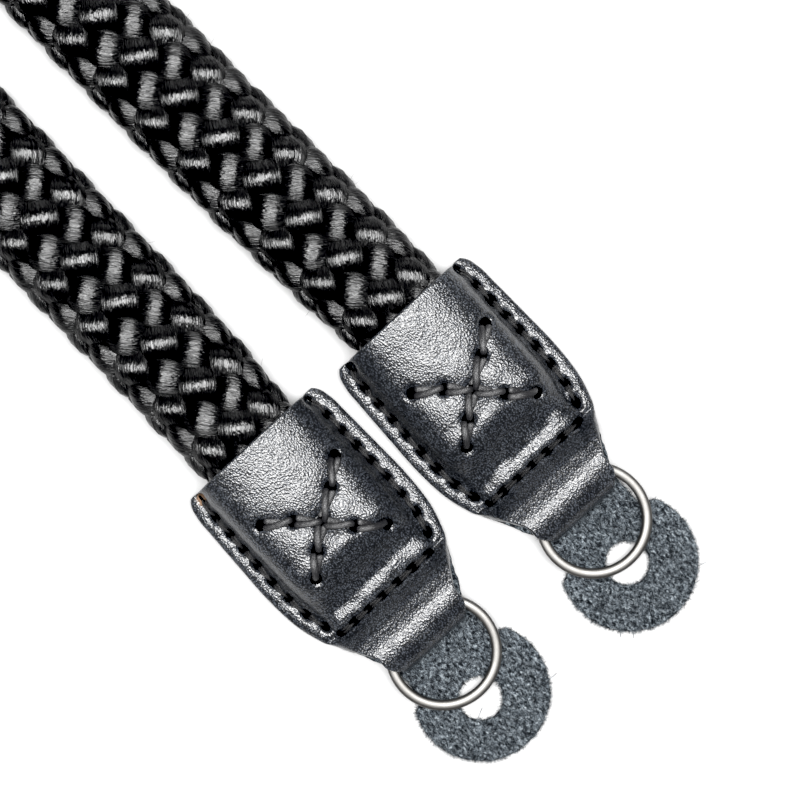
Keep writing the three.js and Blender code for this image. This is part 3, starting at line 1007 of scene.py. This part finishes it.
# Loose fibres of the nap, mostly lying flat and all leaning roughly one way
def makeNap(name, end, suede, material):
    s = napSettings
    chance = random.Random(end["seed"])
    tipward = tabMouth(end) - s["start"]
    spots = [
        (face.center.copy(), face.normal.copy()) for face in suede.data.polygons
        if face.center.y < tipward and face.center.z > s["above"]
    ]
    bm = newBmesh()
    for _ in range(s["fibres"] // s["fibresPerBatch"]):
        batch = newBmesh()
        for _ in range(s["fibresPerBatch"]):
            place, normal = chance.choice(spots)
            length = chance.uniform(*s["length"])
            flow = Vector((*(chance.gauss(mean, s["flowSpread"]) for mean in s["flow"]), 0))
            direction = (normal * chance.uniform(*s["rise"]) + flow).normalized()
            bmesh.ops.create_cone(
                batch, cap_ends=True, segments=3, radius1=s["radius"],
                radius2=s["radius"] * s["tipShare"], depth=length,
                matrix=facing(place + direction * length * s["outShare"], direction),
            )
        data = bpy.data.meshes.new("batch")
        batch.to_mesh(data)
        batch.free()
        bm.from_mesh(data)
        bpy.data.meshes.remove(data)
    discEdge = tabMouth(end) - strap["protectorCentre"] + s["rimReach"]
    rim = [spot for spot in spots if abs(spot[1].z) < 0.3 and spot[0].y < discEdge]
    awaySpread, curlSpread = s["looseSpread"]
    steps = s["looseSteps"]
    for _ in range(s["looseThreads"]):
        place, normal = chance.choice(rim)
        awayX, awayY = (level + chance.gauss(0, awaySpread) for level in normal[:2])
        away = Vector((awayX, awayY, s["looseRise"])).normalized()
        curl = Vector((chance.gauss(0, curlSpread), chance.gauss(0, curlSpread), 0))
        length = chance.uniform(*s["looseLength"]) / steps
        path = [place + (away + curl * k / steps) * length * (k - 1) for k in range(steps + 1)]
        addRope(bm, path, s["looseRadius"], sides=3)
    for vertex in bm.verts:
        vertex.co.z = max(vertex.co.z, s["floorGap"])
    meshPiece(f"{name}Nap", bm, material, "suede_leather", smooth=False)


suedeFinish = lengths(
    cutEdgeHeights=(0.85, 1.12), smoothFaceHeights=(0.05, 0.16), mottleHeight=0.3, napHeight=0.18
) | {
    "mottle": (  # from the hollows of the nap to its tips: the suede's mottled tone, with painted shade in the hollows and painted sheen on the tips
        (0.41, (0.003, 0.004, 0.005)), (0.48, (0.036, 0.043, 0.050)),
        (0.55, (0.10, 0.118, 0.134)), (0.63, (0.30, 0.335, 0.36)),
    ),
    "cutEdge": ((0.35, (0.012, 0.010, 0.010)), (0.65, (0.04, 0.034, 0.030))),
    "smoothFaceAndPitShade": (0.012, 0.013, 0.016), "shade": (0.84, 1.28), "mottleScale": 2200,
    "broadScale": 230, "napScale": 5200,
}


def suedeMaterial():
    s = suedeFinish
    made = Finish("blue-grey suede", (0.08, 0.09, 0.10), roughness=0.95, specular=0.1)
    space = made.space(scale=(1.2, 0.72, 1), turn=math.radians(45))
    mottle = made.noise(space, s["mottleScale"], detail=4.0, roughness=0.75, distortion=0.5)
    broad = made.noise(space, s["broadScale"])
    nap = made.noise(space, s["napScale"], detail=2.0, roughness=0.7)
    shade = made.spread(broad, 0.3, 0.7, *s["shade"])
    colour = made.mix(1.0, made.ramp(mottle, *s["mottle"]), shade, blend="MULTIPLY")
    # Painted shade: the nap's pits take the dark colour of the smooth face
    shadedPits = made.spread(nap, 0.38, 0.48, 0.75, 0)
    colour = made.mix(shadedPits, colour, s["smoothFaceAndPitShade"])
    # the cut edge, and the smooth face below
    height = made.add("ShaderNodeSeparateXYZ", 2, {0: made.place()})
    edge = made.spread(height, *s["cutEdgeHeights"], 1, 0)
    colour = made.mix(edge, colour, made.ramp(mottle, *s["cutEdge"]))
    below = made.spread(height, *s["smoothFaceHeights"], 1, 0)
    made.use("Base Color", made.mix(below, colour, s["smoothFaceAndPitShade"]))
    made.use("Roughness", made.spread(height, *s["smoothFaceHeights"], 0.5, 0.95))
    first = made.bump(mottle, s["mottleHeight"], strength=0.8)
    made.use("Normal", made.bump(nap, s["napHeight"], strength=0.9, before=first))
    return made.material


def napMaterial():
    stops = (0.42, (0.014, 0.016, 0.019)), (0.62, (0.24, 0.27, 0.295))
    return fibreMaterial("suede fibres", (0.10, 0.115, 0.13), 0.9, 0.1, 1900, *stops, detail=2.0)


# Split rings: flat wire wound in two turns, with the step between them towards the tab
ringSettings = lengths(wire=1.3, turnHeight=0.62, turnGap=0.12) | {
    "jog": 84, "tilt": 5.568,  # degrees
    "sides": 16, "degreesPerStep": 3, "cornerPower": 0.97,
}


def makeRing(name, end, material):
    s = ringSettings
    bm = newBmesh()
    made = bmesh.ops.create_circle(bm, segments=s["sides"], radius=1, cap_ends=False)
    middleRadius = strap["ringOuter"] - s["wire"] / 2
    level = (s["turnHeight"] + s["turnGap"]) / 2
    for vertex in made["verts"]:
        outward, upward = (squared(part, s["cornerPower"]) for part in vertex.co[:2])
        height = upward * s["turnHeight"] / 2 - level
        vertex.co = (middleRadius + outward * s["wire"] / 2, 0, height)
    towardsTab = Matrix.Rotation(math.radians(90 + s["jog"] / 2), 3, "Z")
    bmesh.ops.rotate(bm, verts=bm.verts[:], cent=(0, 0, 0), matrix=towardsTab)
    geom = bm.edges[:]
    flat = 360 - s["jog"]
    for degrees, climb in ((flat, 0), (s["jog"], 2 * level), (flat, 0)):
        steps = round(degrees / s["degreesPerStep"])
        made = bmesh.ops.spin(
            bm, geom=geom, cent=(0, 0, 0), axis=(0, 0, 1), dvec=(0, 0, climb / steps),
            angle=math.radians(degrees), steps=steps, use_merge=False, use_normal_flip=False,
            use_duplicate=False,
        )
        geom = [g for g in made["geom_last"] if isinstance(g, bmesh.types.BMEdge)]
    bmesh.ops.holes_fill(bm, edges=[e for e in bm.edges if e.is_boundary], sides=s["sides"])
    tilt = Matrix.Rotation(math.radians(s["tilt"]), 4, "X")
    place = (tabX(end) + end["ringShift"], tabMouth(end) - strap["ringCentre"], strap["ringMiddle"])
    bmesh.ops.transform(bm, verts=bm.verts[:], matrix=Matrix.Translation(place) @ tilt)
    piece = meshPiece(f"{name}SplitRing", bm, material, "nickel", body=f"{name}_ring")
    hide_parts(f"{name}_split_ring")


def nickelMaterial():
    made = Finish("satin nickel", (0.2, 0.195, 0.188), roughness=0.48, metallic=1.0)
    space = made.space()
    rub = made.noise(space, scale=900, detail=4.0, roughness=0.65)
    tarnish = made.noise(space, scale=120, detail=2.0)
    tones = (0.3, (0.155, 0.15, 0.143)), (0.7, (0.19, 0.185, 0.177))
    made.use("Base Color", made.ramp(tarnish, *tones))
    made.use("Roughness", made.spread(rub, 0.3, 0.7, 0.4, 0.5))
    made.use("Normal", made.bump(rub, 0.01 * mm, strength=0.3))
    return made.material


# Stray filaments standing off the braid
hairSettings = lengths(length=(0.7, 2.2), radius=0.016, fromTab=2, floorGap=0.05) | {
    "count": 420,
    "sideTurn": 1.75,  # how far round the cord from its top, radians
    "rootShare": 0.6,  # of the strands' height over the weave's middle
    "outShare": 0.3, "sideShare": 0.7, "bendShare": 0.22, "steps": 6, "seed": 29,
}


def makeStrayHairs(cord, material):
    s = hairSettings
    chance = random.Random(s["seed"])
    nearest = strap["pocketDepth"] + s["fromTab"]
    outer = strandSettings["wave"] + strandSettings["halfThickness"]

    def overWeave(distance, angle, lift):
        halfWidth = strandSettings["midHalfWidth"] + lift
        halfThickness = strandSettings["midHalfThickness"] + lift
        return cord.surface(np.array(distance), np.array(angle), halfWidth, halfThickness)

    bm = newBmesh()
    for _ in range(s["count"]):
        distance = chance.uniform(nearest, cord.length - nearest)
        angle = chance.uniform(-s["sideTurn"], s["sideTurn"])
        root = overWeave(distance, angle, outer * s["rootShare"])
        out = Vector(overWeave(distance, angle, 2 * outer) - root).normalized()
        side = Vector((chance.gauss(0, 1), chance.gauss(0, 1), chance.gauss(0, 0.4))).normalized()
        length = chance.uniform(*s["length"])
        bend = Vector((chance.gauss(0, 1), chance.gauss(0, 1), chance.gauss(0, 0.5)))
        straight = out * s["outShare"] + side * s["sideShare"]
        points = np.array([
            Vector(root) + (straight * share + bend * s["bendShare"] * share**2) * length
            for share in np.linspace(0, 1, s["steps"])
        ])
        points[:, 2] = np.maximum(points[:, 2], s["floorGap"])
        addRope(bm, points, s["radius"], sides=3)
    meshPiece("strayFilaments", bm, material, "braid", smooth=False)


makeCamera()
cord = CordFrame()
core = makeCordCore(cord)
strands = makeStrands(cord)
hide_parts("braided_cord")
tuple(cord.at(strap["pocketDepth"])[0])
[tuple(p) for p in cord.line]
print(f"cord: {cord.length * 1000:.1f} mm long, {len(strands)} strands")

makeFloorAndLight()
print("floor and light made")

leather, suede, nickel = leatherMaterial(), suedeMaterial(), nickelMaterial()
lining, nap = holeShadowMaterial(), napMaterial()
crossThread = threadMaterial("waxed black thread", 0.6)
# the same thread again, darker: painted shade on the seam's sunken stitches
seamThread = threadMaterial("shaded sunken black thread", 0.3)
for name, end in ends.items():
    surface = makeFrontLeather(name, end, leather)
    makeThreads(name, surface, crossThread, seamThread)
    makeHoleShadowDiscs(name, surface, lining)
    makeNap(name, end, makeSuede(name, end, suede), nap)
    makeRing(name, end, nickel)
    print(f"{name} tab, stitching, suede and ring made")
makeStrayHairs(cord, darkCoreMaterial())
print("stray filaments made")
